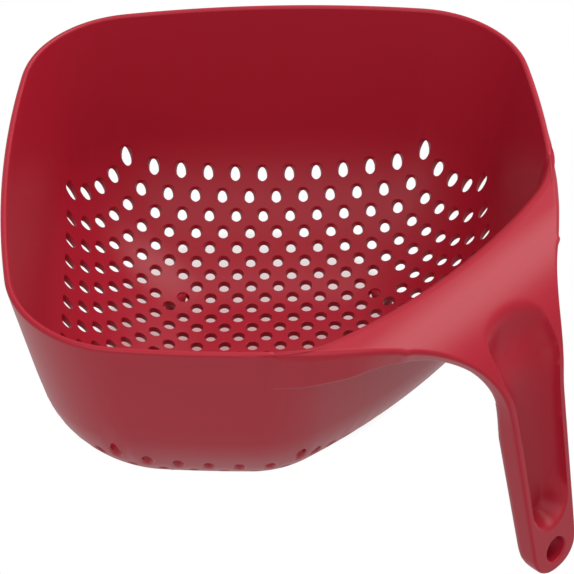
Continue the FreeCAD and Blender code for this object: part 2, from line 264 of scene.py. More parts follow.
def drainCentres():
    # A square net on the bowl's diagonals, with a hole left out over each foot and one near the handle.
    pitch = drain["pitch"]
    reach = int(drain["fieldCorner"] / pitch)
    net = np.arange(-reach, reach + 1) * pitch
    x, y = np.meshgrid(net, net, indexing="ij")
    spots = np.stack([x.ravel(), y.ravel()], -1)
    keep = np.abs(spots).sum(1) * math.sqrt(0.5) <= drain["fieldHalfWidth"]
    keep &= spots[:, 0] <= drain["fieldHandle"]
    for spot in drain["plainSpots"]:
        keep &= np.linalg.norm(spots - np.array(spot), axis=1) > pitch / 2
    return spots[keep]


def drainRings(centres):
    # A circle round each hole, and the same circle squeezed on its uphill half where the wall is steep.
    segments = drain["segments"]
    turn = np.arange(segments) * 2 * np.pi / segments
    ring = np.stack([np.cos(turn), np.sin(turn)], -1) * (drain["radius"] + drain["edge"])
    steep = plateNormal(centres)
    downhill = unit(steep[:, :2] + 1e-9)[:, None]
    above = np.clip(-(ring * downhill).sum(-1), 0, None)
    squeeze = drain["steepSqueeze"] * (1 - steep[:, 2:] ** 2)
    circles = centres[:, None] + ring
    return circles, circles + downhill * (above * squeeze)[..., None]


def fillPoints(centres):
    # Points between the holes: the middles of the net's squares, and rows along the belly.
    pitch = drain["pitch"]
    reach = int(drain["fieldCorner"] / pitch) + 1
    net = (np.arange(-reach, reach) + 0.5) * pitch
    x, y = np.meshgrid(net, net, indexing="ij")
    fill = np.stack([x.ravel(), y.ravel()], -1)
    limit = np.full(len(fill), bowl["bellyRows"][0] - bowl["fillGap"])
    fill = fill[outsideOf(fill, limit) < 0]
    belly = bowlOutline(np.array(bowl["bellyRows"])).reshape(-1, 2)
    clear = drain["radius"] + 2 * drain["edge"]
    belly = belly[np.linalg.norm(belly[:, None] - centres, axis=-1).min(1) > clear]
    fill = fill[np.linalg.norm(fill[:, None] - centres, axis=-1).min(1) > clear]
    return fill, belly


def floorPlan(centres, seam):
    # Triangles in plan between the rings round the holes and the seam with the wall.
    circles, rings = drainRings(centres)
    fill, belly = fillPoints(centres)
    plan = np.concatenate([seam, rings.reshape(-1, 2), fill, belly])
    loop = np.arange(len(seam))
    edges = [np.stack([loop, np.roll(loop, -1)], -1)]
    starts = len(seam) + np.arange(len(centres) * drain["segments"]).reshape(-1, drain["segments"])
    edges.append(np.stack([starts, np.roll(starts, -1, axis=1)], -1).reshape(-1, 2))
    edges = np.concatenate(edges)
    coords = [Vector(point) for point in plan.tolist()]
    found = delaunay_2d_cdt(coords, edges.tolist(), [], 1, 1e-6)
    source = np.array([ids[0] for ids in found[3]])
    triangles = source[np.array(found[2])]

    # Triangles inside a hole have all corners on one ring, and are left out.
    ringOf = np.full(len(plan), -1)
    ringOf[starts] = np.arange(len(centres))[:, None]
    same = (ringOf[triangles] == ringOf[triangles[:, :1]]).all(1) & (ringOf[triangles[:, 0]] >= 0)
    triangles = triangles[~same]
    corner = plan[triangles]
    flip = cross2(corner[:, 1] - corner[:, 0], corner[:, 2] - corner[:, 0]) < 0
    triangles[flip] = triangles[flip][:, ::-1]
    return plan, triangles, starts, len(fill), circles


def wallRows():
    # Rows of the inner surface from the seam to the top of the wall, lower under the hood.
    top = bowl["rimHeight"] - bowl["wall"] / 2 - bowl["lipGap"]
    base = np.linspace(bowl["seamHalfWidth"], halfWidthAt(top), bowl["wallRows"])
    plan = bowlOutline(base)
    height = np.repeat(bowlHeight(base)[:, None], plan.shape[1], axis=1)
    rim = plan[-1]
    steps = bowl["arcSteps"]
    covered = steps["chord"] / 2 + steps["fillet"]
    place = (np.arange(len(rim)) + steps["fillet"]) % len(rim) - steps["fillet"]
    fromMiddle = np.abs(place - steps["chord"] / 2)
    fromMiddle = np.minimum(fromMiddle, len(rim) - fromMiddle)
    fadeStart, fadeEnd = bowl["hoodCover"]
    under = 1 - smooth(fromMiddle, covered - fadeStart, covered - fadeEnd)
    lowered = bowl["lipDrop"] * under[None] * smooth(height, top - bowl["lipBlend"], top)
    return np.concatenate([plan, (height - lowered)[..., None]], -1)


def gridNormals(rows):
    # Normals of closed rows, from the steps along a row and from row to row.
    along = np.roll(rows, -1, axis=1) - np.roll(rows, 1, axis=1)
    up = np.gradient(rows, axis=0)
    return unit(np.cross(up, along))


def makeBowl():
    # Floor plate with its holes, the same plate one wall lower, and the wall's rows round both.
    centres = drainCentres()
    rows = wallRows()
    rowNormals = gridNormals(rows)
    seam = rows[0, :, :2]
    plan, triangles, rings, fillCount, circles = floorPlan(centres, seam)
    plate = np.concatenate([plan, plateHeight(plan)[:, None]], -1)
    plateNormals = plateNormal(plan)
    plateNormals[: len(seam)] = rowNormals[0]
    plate[: len(seam)] = rows[0]
    wall = bowl["wall"]

    outside = plate - plateNormals * wall
    straight = np.arange(len(seam), len(seam) + rings.size + fillCount)
    outside[straight] = plate[straight]
    outside[straight, 2] -= dropThrough(plateNormals[straight, 2])
    below = circles.reshape(-1, 2)
    height = plateHeight(below) - dropThrough(plateNormal(below)[:, 2])
    outside[rings.ravel()] = np.concatenate([below, height[:, None]], -1)
    verts = [plate, outside]
    normals = [plateNormals, -plateNormals]
    faces = [triangles, triangles[:, ::-1] + len(plate)]
    count = 2 * len(plate)

    # Wall: inner rows up, half a circle over the lip, outer rows down.
    lipAlong = np.roll(rows[-1], -1, axis=0) - np.roll(rows[-1], 1, axis=0)
    lipUp = unit(np.cross(lipAlong, rowNormals[-1]))
    lipTurn = np.linspace(0, np.pi, bowl["lipRows"])[1:-1, None, None]
    lipNormals = np.cos(lipTurn) * rowNormals[-1] + np.sin(lipTurn) * lipUp
    lip = rows[-1] - rowNormals[-1] * wall / 2 + lipNormals * wall / 2
    outer = (rows - rowNormals * wall)[::-1]
    body = np.concatenate([rows[1:], lip, outer[:-1]])
    bodyNormals = np.concatenate([rowNormals[1:], lipNormals, -rowNormals[::-1][:-1]])
    index = count + np.arange(body.shape[0] * body.shape[1]).reshape(body.shape[:2])
    first = np.arange(len(seam))[None]
    index = np.concatenate([first, index, first + len(plate)])
    faces.append(gridFaces(index, closed=True)[:, ::-1])
    verts.append(body.reshape(-1, 3))
    normals.append(bodyNormals.reshape(-1, 3))
    count += body.shape[0] * body.shape[1]

    # Drain holes: a small quarter circle at the top, a wall that narrows, and a larger one below.
    ring = plate[rings]
    ringNormals = plateNormals[rings]
    middle = ring.mean(1, keepdims=True)
    inward = unit((middle - ring) * np.array([1, 1, 0]))
    scale = (middle - ring) / (drain["radius"] + drain["edge"])
    mouth = drain["edge"] - drain["taper"]
    mouthBelow = drain["edge"] + drain["taper"]
    slant = math.sqrt(0.5)
    below = (outside[rings] - ring) / wall
    table = [rings]
    profile = (
        (mouth * slant, mouth * (1 - slant), slant, slant),
        (mouth, mouth, 0.0, 1.0),
        (mouthBelow, wall - mouthBelow, 0.0, 1.0),
        (mouthBelow * slant, wall - mouthBelow * (1 - slant), -slant, slant),
    )
    for moveIn, depth, lean, aside in profile:
        verts.append((ring + scale * moveIn + below * depth).reshape(-1, 3))
        normals.append(unit(ringNormals * lean + inward * aside).reshape(-1, 3))
        table.append(count + np.arange(rings.size).reshape(rings.shape))
        count += rings.size
    table.append(rings + len(plate))
    for upper, lower in zip(table[:-1], table[1:]):
        after = np.roll(upper, -1, axis=1)
        beneath = np.roll(lower, -1, axis=1)
        faces.append(np.stack([upper, after, beneath, lower], -1).reshape(-1, 4))

    allFaces = [face for part in faces for face in part.tolist()]
    piece = makeObject("bowlShell", np.concatenate(verts), allFaces, np.concatenate(normals))
    print("bowl:", len(centres), "drain holes,", len(allFaces), "faces")
    return piece


bowlShell = makeBowl()
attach(bowlShell, "root")
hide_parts("bowl")


# Handle: a hood that leaves the rim across the cut corner, bends down and becomes the grip.


handle = {
    "hoodWall": 3.2,
    "bendX": 99.9,
    "bendRadius": 45.5,
    "gripLean": 11.0,
    "gripHalfWidth": 16.6,
    "gripEdge": 1.1,
    "gripDraft": 0.05,
    "gripDepthAt": 20.0,
    "gripDepths": (10.5, 12.6, 11.4),
    "neckFrom": 84.0,
    "neckRadius": 70.0,
    "sideEnd": 130.0,
    "startX": 66.0,
    "lipRadius": 1.4,
    "innerRounding": 5.0,
    "innerAngles": (78, 60, 40, 20),
    "innerFalls": (12.0, 9.0, 6.5),
    "innerSink": 0.03,
    "hiddenSteps": (0.7, 0.1),
    "hoodEdge": 2.4,
    "hoodEdgeFade": (112, 142),
    "hoodEdgeRows": (0.5, 1.6),
    "endDip": 1.2,
    "endDipFade": (66, 88),
    "endDipSpan": (6, 4),
    "wallCover": 1.0,
    "wingFades": {"inset": (0, 0.5), "slip": (0, 0.4), "dip": (0.1, 0.45)},
    "skirtX": (66, 85, 97, 112, 122, 134, 146),
    "skirtDepths": (23, 23, 18.5, 11.5, 8.6, 8.6, 10.5),
    "skirtDraftX": (66, 116, 146),
    "backX": (66, 110, 134),
    "backRoundings": (1.3, 1.6, 4.0),
    "edgeAngles": (18, 36, 54, 72, 90),
    "backAngles": (22, 45, 68, 90),
    "flankFrom": 0.15,
    "flankRows": 6,
    "hollowFade": (100, 124),
    "hollowRim": (0.5, 4.5),
    "hollowBow": (0.5, 12),
    "troughDepth": 9.4,
    "troughLip": 3.2,
    "troughStart": 28.0,
    "troughRamp": (4.0, 22.0),
    "troughEndGap": 21.0,
    "troughPower": 2.4,
    "troughSoft": (0.35, 1.0),
    "troughCrispFrom": 20.0,
    "troughCrispTo": (22.0, 8.0),
    "tipHeight": 1.55,
    "tipRadius": 12.2,
    "tipFullness": 2.4,
    "tipHalfWidth": 12.9,
    "tipDepth": 11.4,
    "tipBackRadius": 5.0,
    "tipSwell": 0.6,
    "tipFade": 20.0,
    "tipCaps": ((0.86, 0.35), (0.5, 0.5)),
    "leastHalfWidth": 0.3,
    "holeRadius": 5.75,
    "holeFromTip": 9.2,
    "holeEdge": 0.9,
    "holeFlare": 0.2,
    "holeSteps": 6,
    "holeSegments": 64,
    "sharpAngle": 50.0,
    "wingAngle": 16.0,
    "columns": 81,
    "columnBunching": 0.75,
    "wingRows": 26,
    "bendRows": 34,
    "gripRows": 120,
    "tipRows": 14,
}

bendZ = bowl["rimHeight"] - handle["bendRadius"]
gripLean = math.radians(handle["gripLean"])
gripOut = np.array([math.cos(gripLean), 0, math.sin(gripLean)])
gripDown = np.array([math.sin(gripLean), 0, -math.cos(gripLean)])
bendCentre = np.array([handle["bendX"], 0, bendZ])
gripTop = bendCentre + gripOut * handle["bendRadius"]
gripLength = (gripTop[2] - handle["tipHeight"]) / math.cos(gripLean)
bendAngles = np.linspace(handle["wingAngle"], 90 - handle["gripLean"], handle["bendRows"] + 1)[1:]
wallSide = rimHalfWidth + bowl["wall"] / math.cos(math.radians(bowl["sideDraft"]))


def sideReach(x):
    # The outside of the bowl's bulged side at the rim.
    centre = -(bowl["sideBulge"] - wallSide) * math.sqrt(0.5)
    return np.sqrt(bowl["sideBulge"] ** 2 - (x - centre) ** 2) + centre


def neckCircle():
    # The concave neck, seen along the slanted line that faces hood and grip alike.
    slant = math.sqrt(0.5)
    tip = gripTop + gripDown * gripLength
    first = np.array([slant * (handle["neckFrom"] - bowl["rimHeight"]), sideReach(handle["neckFrom"])])
    second = np.array([slant * (handle["bendX"] - bowl["rimHeight"]), sideReach(handle["bendX"])])
    third = np.array([slant * (gripTop[0] - gripTop[2]), handle["gripHalfWidth"]])
    fourth = np.array([slant * (tip[0] - tip[2]), handle["tipHalfWidth"]])
    ahead = unit(second - first)
    onward = unit(fourth - third)
    corner = first + ahead * cross2(third - first, onward) / cross2(ahead, onward)
    inward = unit(onward - ahead)
    half = math.acos(float(np.dot(-ahead, onward))) / 2
    centre = corner + inward * handle["neckRadius"] / math.sin(half)
    setback = handle["neckRadius"] / math.tan(half)
    return centre, corner - ahead * setback, corner + onward * setback, onward


neckCentre, neckStart, neckEnd, gripTaper = neckCircle()


def halfWidthSeen(place):
    # Side of the bowl, then the neck's circle, then the tapering grip, by distance downhill.
    x = place[..., 0]
    slant = (place[..., 0] - place[..., 2]) * math.sqrt(0.5)
    rim = sideReach(np.clip(x, 0, handle["sideEnd"]))
    inside = np.clip(handle["neckRadius"] ** 2 - (slant - neckCentre[0]) ** 2, 0, None)
    neck = neckCentre[1] - np.sqrt(inside)
    grip = neckEnd[1] + (slant - neckEnd[0]) * gripTaper[1] / gripTaper[0]
    return np.where(slant < neckStart[0], rim, np.where(slant < neckEnd[0], neck, grip))


def crestHeight(x):
    # Flat at the rim, then the bend's circle.
    out = np.clip(x - handle["bendX"], 0, None)
    return bendZ + np.sqrt(handle["bendRadius"] ** 2 - out ** 2)


def hoodRun(height):
    # The part of the inner outline that the hood spans, from its right-hand side to its left.
    outline = bowlOutline(np.array([halfWidthAt(height)]))[0]
    steps = bowl["arcSteps"]
    length = 2 * steps["side"] + 2 * steps["fillet"] + steps["chord"]
    return np.roll(outline, steps["fillet"] + steps["side"], axis=0)[:length]


def hoodPlaces(share):
    # Where each share of the hood's width, from -1 to 1, falls along that run.
    run = hoodRun(bowl["rimHeight"])
    left = run[len(run) // 2:]
    start = np.interp(-handle["startX"] + bowl["wall"], -left[:, 0], left[:, 1])
    return np.interp(share * start, run[:, 1], np.arange(len(run)))


def hoodEdgeAt(height, places):
    # Plan points of the inner wall at one height, and their outward directions.
    run = hoodRun(height)
    ahead = np.gradient(run, axis=0)
    index = np.arange(len(run))
    point = np.stack([np.interp(places, index, run[:, i]) for i in (0, 1)], -1)
    across = np.interp(places, index, ahead[:, 1])
    along = np.interp(places, index, ahead[:, 0])
    return point, unit(np.stack([across, -along], -1))


def buriedAt(places):
    # How far the two ends of the hood dip under the bowl's lip.
    steps = bowl["arcSteps"]
    fromMiddle = np.abs(places - steps["side"] - steps["fillet"] - steps["chord"] / 2)
    covered = steps["chord"] / 2 + steps["fillet"]
    before, after = handle["endDipSpan"]
    return handle["endDip"] * smooth(fromMiddle, covered - before, covered + after)


def bendStation(degrees):
    # Point and outward normal on the bend's circle, by the angle from upright.
    angle = np.radians(degrees)
    normal = np.stack([np.sin(angle), 0 * angle, np.cos(angle)], -1)
    return bendCentre + normal * handle["bendRadius"], normal


def wingGrid(share, places, rounding):
    # Hood: straight lines from the rim's inner edge to the first row of the bend, widened to the neck.
    rim, outward = hoodEdgeAt(bowl["rimHeight"], places)
    inner = rim + outward * rounding[:, None]
    fades = handle["wingFades"]
    edge = handle["hoodEdge"]
    wingEnd, _ = bendStation(np.array([handle["wingAngle"]]))
    endHalf = float(halfWidthSeen(wingEnd)[0]) - edge
    last = np.stack([np.full_like(share, wingEnd[0, 0]), share * endHalf], -1)
    step = np.linspace(0, 1, handle["wingRows"])[:, None, None]
    wings = inner + (last - inner) * step
    sideX = wings[:, -1, 0]
    insetAt = handle["lipRadius"] + (edge - handle["lipRadius"]) * smooth(step[:, 0, 0], *fades["inset"])
    crest = np.stack([sideX, 0 * sideX, crestHeight(sideX)], -1)
    wanted = halfWidthSeen(crest) - insetAt * math.sqrt(2)
    slip = wanted - wings[:, -1, 1]
    slip = slip - slip[0] * (1 - smooth(step[:, 0, 0], *fades["slip"]))
    wings[..., 1] += slip[:, None] * share * np.abs(share) ** 2
    height = crestHeight(wings[..., 0]) - buriedAt(places) * (1 - smooth(step[..., 0], *fades["dip"]))
    normalX = np.clip(wings[..., 0] - handle["bendX"], 0, None) / handle["bendRadius"]
    normals = np.stack([normalX, 0 * normalX, np.sqrt(1 - normalX ** 2)], -1)
    return np.concatenate([wings, height[..., None]], -1), normals


def gripGrid(share):
    # Bend and grip: level rows along a circle and a line, as wide as the neck, with a rounded end.
    bend, bendNormal = bendStation(bendAngles)
    radius = handle["tipRadius"]
    run = np.linspace(0, gripLength - radius, handle["gripRows"] + 1)[1:]
    sweep = np.sin(np.linspace(0, np.pi / 2, handle["tipRows"] + 1)[1:])
    run = np.concatenate([run, gripLength - radius + radius * sweep])
    grip = gripTop + gripDown * run[:, None]
    line = np.concatenate([bend, grip])
    half = halfWidthSeen(line)
    past = np.clip(run / radius - gripLength / radius + 1, 0, 1)
    power = handle["tipFullness"]
    half[len(bend):] -= radius * (1 - (1 - past ** power) ** (1 / power))
    fade = 1 - smooth(line[:, 0], *handle["hoodEdgeFade"])
    inset = handle["gripEdge"] + (handle["hoodEdge"] - handle["gripEdge"]) * fade
    half = np.clip(half - inset, handle["leastHalfWidth"], None)
    rows = np.repeat(line[:, None], len(share), axis=1)
    rows[..., 1] = half[:, None] * share
    normals = np.concatenate([bendNormal, np.repeat(gripOut[None], len(grip), axis=0)])
    return rows, np.repeat(normals[:, None], len(share), axis=1), run


def deckGrid():
    # Crest surface: rows from the rim's inner edge over the hood and down the grip to the tip.
    bunching = np.pi / 2 * handle["columnBunching"]
    share = np.sin(np.linspace(-1, 1, handle["columns"]) * bunching) / math.sin(bunching)
    places = hoodPlaces(share)
    rounding = handle["lipRadius"] + (handle["innerRounding"] - handle["lipRadius"]) * (1 - share ** 4)
    wings, wingNormals = wingGrid(share, places, rounding)
    rows, rowNormals, run = gripGrid(share)
    deck = np.concatenate([wings, rows])
    return deck, np.concatenate([wingNormals, rowNormals]), share, run, rounding, places


def troughDrop(deck, run):
    # Depth of the thumb trough: a round hollow with half circles at its ends, soft near both of them.
    rows = len(deck)
    gripStart = rows - len(run)
    upright = np.pi / 2 - gripLean
    along = np.full(rows, -1e3)
    along[gripStart:] = run
    along[handle["wingRows"]: gripStart] = (np.radians(bendAngles) - upright) * handle["bendRadius"]
    start = (np.radians(handle["troughStart"]) - upright) * handle["bendRadius"]
    end = gripLength - handle["troughEndGap"]
    half = np.maximum(deck[:, -1, 1], 1e-3)
    opening = np.minimum(half - handle["troughLip"] + handle["gripEdge"], handle["gripHalfWidth"])
    y = np.abs(deck[..., 1]) / np.maximum(opening, 1e-3)[:, None]
    fromEnd = np.clip((along - end) / opening + 1, 0, None)
    fromStart = np.clip((start - along) / opening + 1, 0, None)
    radius = np.sqrt(y ** 2 + (fromEnd ** 2 + fromStart ** 2)[:, None])
    crisp = np.sqrt(1 - np.clip(radius, 0, 1) ** handle["troughPower"])
    soft = 1 - smooth(radius, *handle["troughSoft"])
    fadeStart, fadeEnd = handle["troughCrispTo"]
    hard = smooth(along, start, start + handle["troughCrispFrom"])
    hard = hard * (1 - smooth(along, end - fadeStart, end - fadeEnd))
    sides = soft + (crisp - soft) * hard[:, None]
    lead, ramp = handle["troughRamp"]
    return handle["troughDepth"] * sides * smooth(along, start - lead, start + ramp)[:, None]


def skirtProfile(deck, run):
    # Across a flank: a quarter circle at the crest, a drafted side, and a quarter circle at the back.
    rows = len(deck)
    edgeX = deck[:, -1, 0]
    gripRow = np.arange(rows) >= rows - len(run)
    runAll = np.concatenate([np.zeros(rows - len(run)), run])
    hoodDepth = np.interp(edgeX, handle["skirtX"], handle["skirtDepths"])
    gripDepth = np.interp(runAll, (0, handle["gripDepthAt"], gripLength), handle["gripDepths"])
    depth = np.where(gripRow, gripDepth, hoodDepth)
    hoodDraft = np.interp(edgeX, handle["skirtDraftX"], (sideSlope, sideSlope, handle["gripDraft"]))
    draft = np.where(gripRow, handle["gripDraft"], hoodDraft)
    first, second = handle["hoodEdgeRows"]
    fadeRows = (0, handle["wingRows"] * first, handle["wingRows"] * second)
    edges = (handle["lipRadius"], handle["hoodEdge"], handle["gripEdge"])
    edge = np.interp(np.arange(rows), fadeRows, edges)
    back = np.interp(edgeX, handle["backX"], handle["backRoundings"])
    sunk = handle["endDip"] * (1 - smooth(edgeX, *handle["endDipFade"]))
    outs = []
    falls = []
    for phi in np.radians(handle["edgeAngles"]):
        outs.append(edge * math.sin(phi) - sunk)
        falls.append(edge * (1 - math.cos(phi)))
    for part in np.linspace(handle["flankFrom"], 1, handle["flankRows"]):
        fall = edge + (depth - back - edge) * part
        outs.append(edge - (fall - edge) * draft - sunk)
        falls.append(fall)
    base = edge - (depth - back - edge) * draft - sunk
    for phi in np.radians(handle["backAngles"]):
        outs.append(base - back * (1 - math.cos(phi)))
        falls.append(depth - back + back * math.sin(phi))
    return np.stack(outs, 1)[..., None], np.stack(falls, 1)[..., None], depth


def makeFlanks(deck, normals, outs, falls):
    # The profile set off sideways and inwards from each edge of the deck, right side first.
    flanks = []
    for column, side in ((0, -1), (-1, 1)):
        crest = deck[:, column]
        crestNormal = normals[:, column]
        tangent = unit(np.gradient(crest, axis=0))
        beside = unit(np.cross(crestNormal, tangent)) * side
        beside = np.where((beside[:, 1:2] * side) < 0, -beside, beside)
        flanks.append(crest[:, None] + beside[:, None] * outs - crestNormal[:, None] * falls)
    return flanks


def makeUnderside(deck, normals, share, places, flanks, depth):
    # Straight across between the two flanks, hollowed under the hood to its wall.
    columns = deck.shape[1]
    low, high = flanks[0][:, -1], flanks[1][:, -1]
    across = (1 - share[::-1]) / 2
    under = high[:, None] + (low - high)[:, None] * across[:, None]
    fromEdge = np.minimum(across, 1 - across) * np.linalg.norm(high - low, axis=1)[:, None]
    hollow = 1 - smooth(deck[:, -1, 0], *handle["hollowFade"])
    rise = hollow[:, None] * np.clip(depth - handle["hoodWall"], 0, None)[:, None]
    rise = rise * smooth(fromEdge, *handle["hollowRim"])
    middleNormal = np.repeat(normals[:, columns // 2][:, None], columns, axis=1)
    under = under + middleNormal * rise[..., None]
    bow = deck[..., 0] - deck[:, -1:, 0]
    under[..., 0] += bow[:, ::-1] * smooth(fromEdge, *handle["hollowBow"])

    # Where it would show inside the bowl, it is pushed out into the wall.
    outward = hoodEdgeAt(bowl["rimHeight"], places)[1][::-1]
    wings = under[: handle["wingRows"]]
    flat = wings.reshape(-1, 3)
    gap = outsideOf(flat[:, :2], halfWidthAt(flat[:, 2])).reshape(wings.shape[:2])
    push = np.clip(handle["wallCover"] - gap, 0, None)
    wings[..., :2] += outward * push[..., None]
    return under


def roundTip(body, deck, run):
    # Towards the tip the back is drawn up: the end is level, swells a little, and is rounded behind.
    behind = -((body - deck[:, :1]) @ gripOut)
    turn = handle["tipBackRadius"]
    past = np.clip(behind - handle["tipDepth"] + turn, 0, turn)
    lift = behind * math.tan(gripLean) + turn - np.sqrt(turn ** 2 - past ** 2)
    middle = np.clip(behind / handle["tipDepth"], 0, 1)
    lift = lift - handle["tipSwell"] * 4 * middle * (1 - middle)
    runAll = np.concatenate([np.zeros(len(deck) - len(run)), run])
    lift = lift * smooth(runAll, gripLength - handle["tipFade"], gripLength)[:, None]
    return body - gripDown * lift[..., None]


def innerEdge(rounding, places):
    # The hood's edge inside the bowl: up along the wall, then a quarter circle to the deck.
    strips = []
    buried = buriedAt(places)
    rimHeight = bowl["rimHeight"]
    rim, outward = hoodEdgeAt(rimHeight, places)
    for fall in handle["innerFalls"]:
        plan, wallOut = hoodEdgeAt(rimHeight - fall, places)
        plan = plan + wallOut * (buried - handle["innerSink"])[:, None]
        strips.append(np.concatenate([plan, np.full((len(plan), 1), rimHeight - fall)], -1))
    for phi in np.radians(handle["innerAngles"]):
        plan = rim + outward * (rounding * (1 - math.sin(phi)) + buried)[:, None]
        height = rimHeight - rounding * (1 - math.cos(phi)) - buried
        strips.append(np.concatenate([plan, height[:, None]], -1))
    return np.stack(strips)


def makeHandle():
    # Closed loops of deck, flank, underside and flank, one after another from the bowl to the tip.
    deck, normals, share, run, rounding, places = deckGrid()
    columns = deck.shape[1]
    outs, falls, depth = skirtProfile(deck, run)
    flanks = makeFlanks(deck, normals, outs, falls)
    under = makeUnderside(deck, normals, share, places, flanks, depth)
    top = deck - normals * troughDrop(deck, run)[..., None]
    body = np.concatenate([top, flanks[1], under[:, 1:-1], flanks[0][:, ::-1]], 1)
    body = roundTip(body, deck, run)
    strip = innerEdge(rounding, places)
    hidden = np.repeat(body[:1, columns:], len(strip), axis=0)
    hidden[..., 0] -= np.linspace(*handle["hiddenSteps"], len(strip))[:, None]
    loop = np.concatenate([np.concatenate([strip, hidden], 1), body])

    index = np.arange(loop.shape[0] * loop.shape[1]).reshape(loop.shape[:2])
    verts = [loop.reshape(-1, 3)]
    faces = [gridFaces(index, closed=True)[:, ::-1]]
    count = index.size

    # Start: a strip of quads between deck and underside, and a face at each flank, close the hidden end.
    side = flanks[0].shape[1]
    deckRow = index[0, :columns]
    underRow = index[0, columns + side - 1: 2 * columns + side - 1][::-1]
    faces.append(gridFaces(np.stack([underRow, deckRow]))[:, ::-1])
    closing = [
        index[0, columns - 1: columns + side].tolist(),
        np.append(index[0, -side:], index[0, 0]).tolist(),
    ]

    # Tip: two smaller loops and a face close the end.
    end = loop[-1]
    centre = end.mean(0)
    previous = index[-1]
    for scale, step in handle["tipCaps"]:
        verts.append(centre + (end - centre) * scale - np.array([0, 0, step]))
        row = count + np.arange(len(end))
        faces.append(gridFaces(np.stack([previous, row]), closed=True)[:, ::-1])
        previous = row
        count += len(end)
    closing.append(previous[::-1].tolist())

    allFaces = [face for part in faces for face in part.tolist()] + closing
    piece = makeObject("handleShell", np.concatenate(verts), allFaces)
    print("handle:", len(allFaces), "faces")
    return piece


def cutHangHole(piece):
    # A spool through the tip: straight bore, and a quarter circle that widens it at each face.
    radius, edge = handle["holeRadius"], handle["holeEdge"]
    depth = handle["tipDepth"]
    turn = np.linspace(0, np.pi / 2, handle["holeSteps"])
    outer = np.stack([radius + edge * (1 - np.cos(turn)), -edge + edge * np.sin(turn)], -1)
    outer = np.concatenate([outer, [(radius + edge + handle["holeFlare"], edge)]])
    inner = outer[::-1] * np.array([1, -1]) - np.array([0, depth])
    profile = np.concatenate([inner, outer])
    spin = np.linspace(0, 2 * np.pi, handle["holeSegments"] + 1)[:-1]
    middle = gripTop + gripDown * (gripLength - handle["holeFromTip"])
    aside = np.array([0.0, 1.0, 0.0])
    around = np.cos(spin)[:, None] * aside + np.sin(spin)[:, None] * gripDown
    verts = middle + profile[:, None, :1] * around + profile[:, None, 1:] * gripOut
    index = np.arange(verts.shape[0] * verts.shape[1]).reshape(verts.shape[:2])
    faces = gridFaces(index, closed=True)[:, ::-1].tolist()
    faces.append(index[0].tolist())
    faces.append(index[-1][::-1].tolist())
    spool = makeObject("hangHoleSpool", verts.reshape(-1, 3), faces)
    cut = piece.modifiers.new("hangHole", "BOOLEAN")
    cut.object = spool
    cut.operation = "DIFFERENCE"
    cut.solver = "EXACT"
    graph = bpy.context.evaluated_depsgraph_get()
    carved = bpy.data.meshes.new_from_object(piece.evaluated_get(graph))
    piece.modifiers.clear()
    piece.data = carved
    bpy.data.objects.remove(spool)
    carved.set_sharp_from_angle(angle=math.radians(handle["sharpAngle"]))
    print("hanging hole:", len(carved.polygons), "faces on the handle")


handleShell = makeHandle()
cutHangHole(handleShell)
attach(handleShell, "root")
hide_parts("handle")


# Feet: tapered pegs under the floor, round at the bottom edge.


foot = {
    "tip": 3.4,
    "root": 6.4,
    "edge": 0.8,
    "bevel": 0.25,
    "flare": 0.02,
    "topGap": 0.3,
    "segments": 40,
}


def makeFoot(node):
    # Rings from the sole upwards: a small rounding, then a straight taper to the root.
    low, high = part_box(node)
    middle = (low + high) / 2 / mm
    top = high.z / mm - foot["topGap"]
    tip = foot["tip"]
    radius = np.array([tip - foot["edge"], tip - foot["bevel"], tip + foot["flare"], foot["root"]])
    height = np.array([0.0, foot["bevel"], foot["edge"], top])
    turn = np.arange(foot["segments"]) * 2 * np.pi / foot["segments"]
    x = radius[:, None] * np.cos(turn)
    y = radius[:, None] * np.sin(turn)
    rings = np.stack([x, y, 0 * x + height[:, None]], -1)
    verts = rings.reshape(-1, 3) + np.array([middle.x - axisShift / mm, middle.y, 0])
    index = np.arange(len(verts)).reshape(len(rings), -1)
    faces = gridFaces(index, closed=True).tolist()
    faces.append(index[0][::-1].tolist())
    faces.append(index[-1].tolist())
    piece = makeObject(node + "Peg", verts, faces)
    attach(piece, "root")
    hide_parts(node)
    return piece


feet = [makeFoot(node) for node in ("foot_rear", "foot_left", "foot_right")]
print("feet:", len(feet))


# Finish: satin moulded plastic with a very fine grain.


plastic = {
    "base": (0.36, 0.010, 0.025, 1.0),
    "roughness": 0.40,
    "shine": 0.25,
    "glow": 0.12,
    "glowColours": (1.0, 0.25, 0.25),
    "glowDepth": 0.003,
    "grainScale": 900.0,
    "grainStrength": 0.03,
    "grainHeight": 0.0005,
}


def makePlastic():
    # One red shader with a little light under the surface, and fine noise as its bump.
    material = bpy.data.materials.new("satinPlastic")
    material.use_nodes = True
    nodes = material.node_tree.nodes
    links = material.node_tree.links
    shader = nodes["Principled BSDF"]
    shader.inputs["Base Color"].default_value = plastic["base"]
    shader.inputs["Roughness"].default_value = plastic["roughness"]
    shader.inputs["Specular IOR Level"].default_value = plastic["shine"]
    shader.inputs["Subsurface Weight"].default_value = plastic["glow"]
    shader.inputs["Subsurface Radius"].default_value = plastic["glowColours"]
    shader.inputs["Subsurface Scale"].default_value = plastic["glowDepth"]
    place = nodes.new("ShaderNodeTexCoord")
    grain = nodes.new("ShaderNodeTexNoise")
    grain.inputs["Scale"].default_value = plastic["grainScale"]
    bump = nodes.new("ShaderNodeBump")
    bump.inputs["Strength"].default_value = plastic["grainStrength"]
    bump.inputs["Distance"].default_value = plastic["grainHeight"]
    links.new(place.outputs["Object"], grain.inputs["Vector"])
    links.new(grain.outputs["Fac"], bump.inputs["Height"])
    links.new(bump.outputs["Normal"], shader.inputs["Normal"])
    return material


satinPlastic = makePlastic()
for piece in [bowlShell, handleShell] + feet:
    piece.data.materials.append(satinPlastic)
print("finish:", satinPlastic.name)


